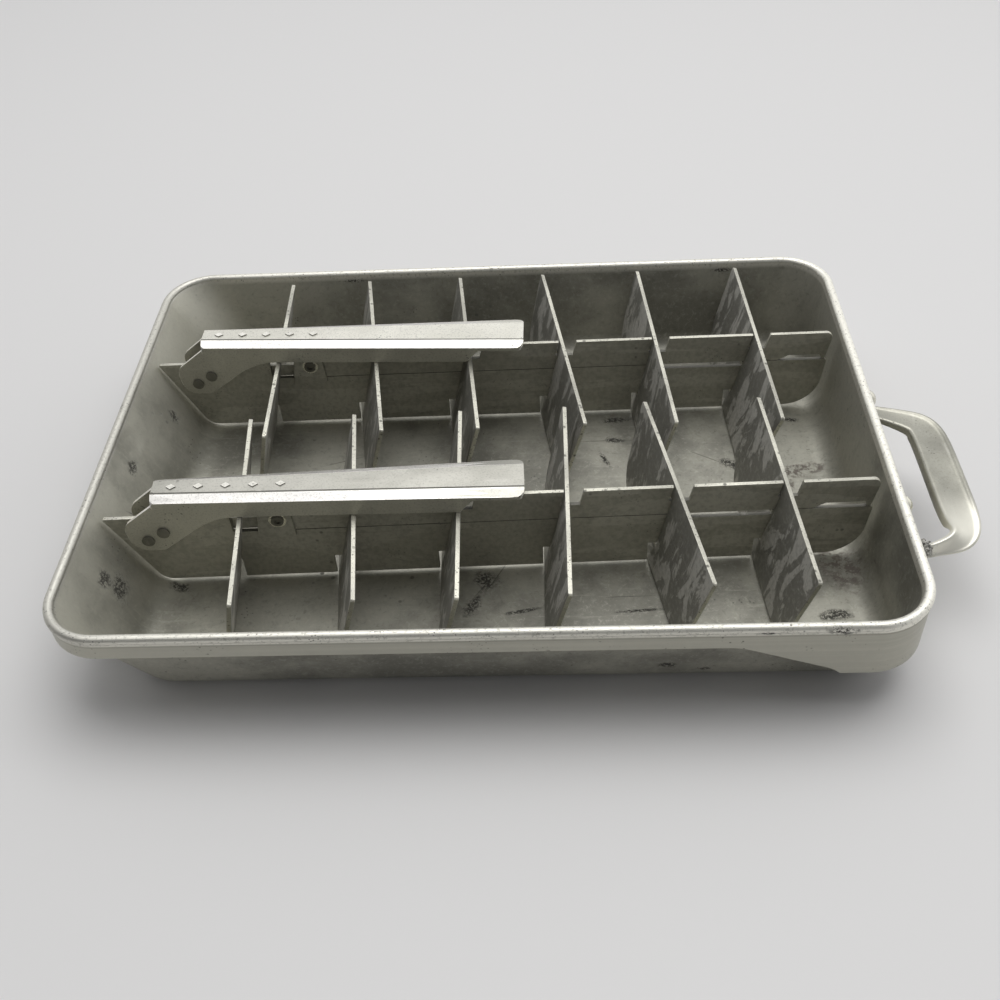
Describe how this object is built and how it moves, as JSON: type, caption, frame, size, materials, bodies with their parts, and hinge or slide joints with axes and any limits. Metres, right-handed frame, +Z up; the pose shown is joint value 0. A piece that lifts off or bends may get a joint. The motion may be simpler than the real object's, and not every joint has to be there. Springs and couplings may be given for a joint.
{
  "type": "lever ice cube tray",
  "caption": "Double aluminium ice cube tray with a rolled rim, a loop handle on one end and lever-operated divider grids lying loose in it.",
  "frame": {"origin": "On the flat underside of the pan, below the middle of the rim.", "axes": "+X along the tray towards the handle, +Y across the tray away from the front lever's side, +Z up out of the pan."},
  "size_m": [0.3056, 0.204, 0.0476],
  "materials": {
    "pan_sheet": "aged satin",
    "handle_sheet": "aged satin",
    "grid_sheet": "oxidised matt",
    "lever_sheet": "worn polish",
    "rivet": "satin",
    "pin": "dull"
  },
  "bodies": {
    "pan": {"pan": "pan_sheet", "handle": "handle_sheet", "handle_rivet_rear": "rivet", "handle_rivet_front": "rivet"},
    "front_grid": {"front_centre_plate": "grid_sheet", "front_lever_pivot_rivet": "pin"},
    "front_slide": {"front_slide_strip": "grid_sheet", "front_slide_rivet": "pin", "front_slide_washer": "pin"},
    "front_link_bar": {"front_link": "pin"},
    "front_lever_arm": {"front_lever": "lever_sheet", "front_link_rivet": "pin"},
    "front_wall_1": {"front_cross_wall_1": "grid_sheet"},
    "front_wall_2": {"front_cross_wall_2": "grid_sheet"},
    "front_wall_3": {"front_cross_wall_3": "grid_sheet"},
    "front_wall_4": {"front_cross_wall_4": "grid_sheet"},
    "front_wall_5": {"front_cross_wall_5": "grid_sheet"},
    "front_wall_6": {"front_cross_wall_6": "grid_sheet"},
    "back_grid": {"back_centre_plate": "grid_sheet", "back_lever_pivot_rivet": "pin"},
    "back_slide": {"back_slide_strip": "grid_sheet", "back_slide_rivet": "pin", "back_slide_washer": "pin"},
    "back_link_bar": {"back_link": "pin"},
    "back_lever_arm": {"back_lever": "lever_sheet", "back_link_rivet": "pin"},
    "back_wall_1": {"back_cross_wall_1": "grid_sheet"},
    "back_wall_2": {"back_cross_wall_2": "grid_sheet"},
    "back_wall_3": {"back_cross_wall_3": "grid_sheet"},
    "back_wall_4": {"back_cross_wall_4": "grid_sheet"},
    "back_wall_5": {"back_cross_wall_5": "grid_sheet"},
    "back_wall_6": {"back_cross_wall_6": "grid_sheet"}
  },
  "joints": [
    {"name": "front_grid_lift", "type": "slide", "parent": "pan", "child": "front_grid", "axis": [0.1392, 0, 0.9903], "range_m": [0, 0.045]},
    {"name": "front_lever_lift", "type": "hinge", "parent": "front_grid", "child": "front_lever_arm", "pos_m": [-0.11699, -0.04286, 0.0281], "axis": [0.0262, -0.9997, 0], "range_deg": [0, 70]},
    {"name": "front_strip_slide", "type": "slide", "parent": "front_grid", "child": "front_slide", "axis": [-0.9997, -0.0262, 0], "range_m": [0, 0.00757]},
    {"name": "front_link_hinge", "type": "hinge", "parent": "front_slide", "child": "front_link_bar", "pos_m": [-0.07211, -0.04168, 0.0318], "axis": [-0.0262, 0.9997, 0], "range_deg": [0, 4.87]},
    {"name": "front_wall_1_tilt", "type": "hinge", "parent": "front_grid", "child": "front_wall_1", "pos_m": [-0.0918, -0.0422, 0.0024], "axis": [0.0976, -0.9952, 0], "range_deg": [0, 5.7]},
    {"name": "front_wall_2_tilt", "type": "hinge", "parent": "front_grid", "child": "front_wall_2", "pos_m": [-0.05452, -0.04122, 0.0024], "axis": [0.1028, -0.9947, 0], "range_deg": [0, 5.7]},
    {"name": "front_wall_3_tilt", "type": "hinge", "parent": "front_grid", "child": "front_wall_3", "pos_m": [-0.01723, -0.04025, 0.0024], "axis": [0.0297, -0.9996, 0], "range_deg": [0, 5.7]},
    {"name": "front_wall_4_tilt", "type": "hinge", "parent": "front_grid", "child": "front_wall_4", "pos_m": [0.02005, -0.03927, 0.0024], "axis": [-0.0035, -1, 0], "range_deg": [0, 5.7]},
    {"name": "front_wall_5_tilt", "type": "hinge", "parent": "front_grid", "child": "front_wall_5", "pos_m": [0.05733, -0.03829, 0.0024], "axis": [0.165, -0.9863, 0], "range_deg": [0, 5.7]},
    {"name": "front_wall_6_tilt", "type": "hinge", "parent": "front_grid", "child": "front_wall_6", "pos_m": [0.09462, -0.03732, 0.0024], "axis": [0.0645, -0.9979, 0], "range_deg": [0, 5.7]},
    {"name": "back_grid_lift", "type": "slide", "parent": "pan", "child": "back_grid", "axis": [0.1392, 0, 0.9903], "range_m": [0, 0.045]},
    {"name": "back_lever_lift", "type": "hinge", "parent": "back_grid", "child": "back_lever_arm", "pos_m": [-0.11742, 0.04447, 0.0281], "axis": [-0.0122, -0.9999, 0], "range_deg": [0, 70]},
    {"name": "back_strip_slide", "type": "slide", "parent": "back_grid", "child": "back_slide", "axis": [-0.9999, -0.0122, 0], "range_m": [0, 0.00757]},
    {"name": "back_link_hinge", "type": "hinge", "parent": "back_slide", "child": "back_link_bar", "pos_m": [-0.07253, 0.04502, 0.0318], "axis": [-0.0122, 0.9999, 0], "range_deg": [0, 4.87]},
    {"name": "back_wall_1_tilt", "type": "hinge", "parent": "back_grid", "child": "back_wall_1", "pos_m": [-0.09222, 0.04478, 0.0024], "axis": [0.0366, -0.9993, 0], "range_deg": [0, 5.7]},
    {"name": "back_wall_2_tilt", "type": "hinge", "parent": "back_grid", "child": "back_wall_2", "pos_m": [-0.05493, 0.04524, 0.0024], "axis": [0.1409, -0.99, 0], "range_deg": [0, 5.7]},
    {"name": "back_wall_3_tilt", "type": "hinge", "parent": "back_grid", "child": "back_wall_3", "pos_m": [-0.01764, 0.04569, 0.0024], "axis": [0.1063, -0.9943, 0], "range_deg": [0, 5.7]},
    {"name": "back_wall_4_tilt", "type": "hinge", "parent": "back_grid", "child": "back_wall_4", "pos_m": [0.01966, 0.04615, 0.0024], "axis": [0.1461, -0.9893, 0], "range_deg": [0, 5.7]},
    {"name": "back_wall_5_tilt", "type": "hinge", "parent": "back_grid", "child": "back_wall_5", "pos_m": [0.05695, 0.0466, 0.0024], "axis": [0.075, -0.9972, 0], "range_deg": [0, 5.7]},
    {"name": "back_wall_6_tilt", "type": "hinge", "parent": "back_grid", "child": "back_wall_6", "pos_m": [0.09424, 0.04706, 0.0024], "axis": [0.0454, -0.999, 0], "range_deg": [0, 5.7]}
  ],
  "couplings": [
    {"joint": "front_strip_slide", "follows": "front_lever_lift", "m_per_rad": 0.0061998},
    {"joint": "front_link_hinge", "follows": "front_lever_lift", "ratio": 0.069631},
    {"joint": "front_wall_1_tilt", "follows": "front_lever_lift", "ratio": 0.081428},
    {"joint": "front_wall_2_tilt", "follows": "front_lever_lift", "ratio": 0.081428},
    {"joint": "front_wall_3_tilt", "follows": "front_lever_lift", "ratio": 0.081428},
    {"joint": "front_wall_4_tilt", "follows": "front_lever_lift", "ratio": 0.081428},
    {"joint": "front_wall_5_tilt", "follows": "front_lever_lift", "ratio": 0.081428},
    {"joint": "front_wall_6_tilt", "follows": "front_lever_lift", "ratio": 0.081428},
    {"joint": "back_strip_slide", "follows": "back_lever_lift", "m_per_rad": 0.0061998},
    {"joint": "back_link_hinge", "follows": "back_lever_lift", "ratio": 0.069631},
    {"joint": "back_wall_1_tilt", "follows": "back_lever_lift", "ratio": 0.081428},
    {"joint": "back_wall_2_tilt", "follows": "back_lever_lift", "ratio": 0.081428},
    {"joint": "back_wall_3_tilt", "follows": "back_lever_lift", "ratio": 0.081428},
    {"joint": "back_wall_4_tilt", "follows": "back_lever_lift", "ratio": 0.081428},
    {"joint": "back_wall_5_tilt", "follows": "back_lever_lift", "ratio": 0.081428},
    {"joint": "back_wall_6_tilt", "follows": "back_lever_lift", "ratio": 0.081428}
  ]
}
